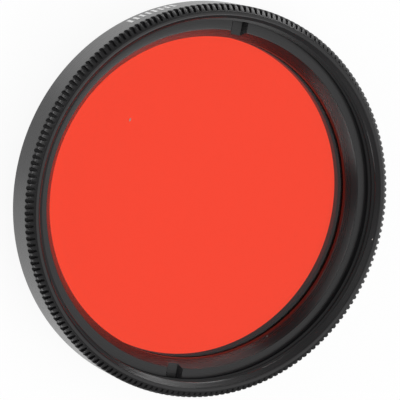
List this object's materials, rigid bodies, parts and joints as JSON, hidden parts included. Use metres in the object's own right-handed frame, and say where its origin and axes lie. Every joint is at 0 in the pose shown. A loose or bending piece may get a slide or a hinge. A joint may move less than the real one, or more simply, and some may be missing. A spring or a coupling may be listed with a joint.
{
  "type": "colour lens filter",
  "caption": "Round screw-in red colour filter for a small camera lens: black knurled threaded ring, glass disc and retaining ring.",
  "frame": {"origin": "centre of the ring's rear end, the plane that it rests on", "axes": "+Z along the optical axis, from the rear thread towards the knurled front rim; the two spanner slots of the retaining ring lie on the Y axis"},
  "size_m": [0.0396, 0.0396, 0.0063],
  "materials": {
    "frame_metal": "black anodised, satin",
    "retainer_metal": "black anodised, satin",
    "red_glass": "polished, red through its depth"
  },
  "bodies": {
    "root": {"filter_frame": "frame_metal", "retaining_ring": "retainer_metal", "colour_glass": "red_glass"}
  },
  "joints": []
}
